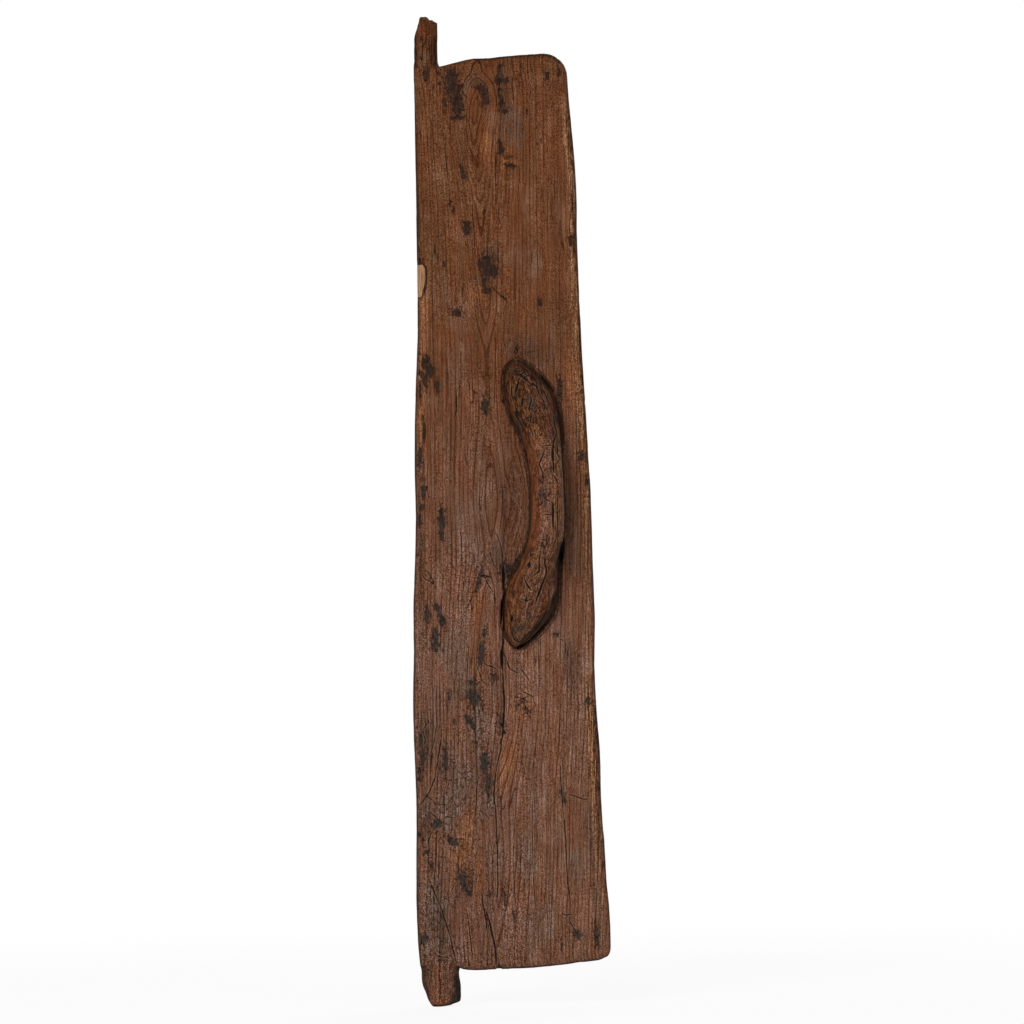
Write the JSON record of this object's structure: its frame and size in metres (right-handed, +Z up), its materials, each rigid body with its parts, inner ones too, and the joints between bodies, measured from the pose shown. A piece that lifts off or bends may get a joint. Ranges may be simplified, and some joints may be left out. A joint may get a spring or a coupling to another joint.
{
  "type": "granary door",
  "caption": "Narrow hewn hardwood door leaf that turns on its own round pivots, with a bowed wooden handle let into its front.",
  "frame": {"origin": "where the hinge axis meets the sill plane, at the upper end of the lower pivot's round wall", "axes": "+Z up along the hinge axis, +X across the leaf towards its free edge, +Y through the leaf towards its back"},
  "size_m": [0.2126, 0.1009, 1.088],
  "materials": {
    "leaf_wood": "hewn dark red-brown hardwood, weathered, with open grain, checks and dark stains",
    "handle_wood": "hand-polished dark orange-brown hardwood, finely cracked",
    "wedge_wood": "split brown wood, end grain showing",
    "patch_wood": "pale tan wood, dry"
  },
  "bodies": {
    "root": {"leaf": "leaf_wood", "handle": "handle_wood", "upper_wedge": "wedge_wood", "lower_wedge": "wedge_wood", "edge_patch": "patch_wood"}
  },
  "joints": []
}
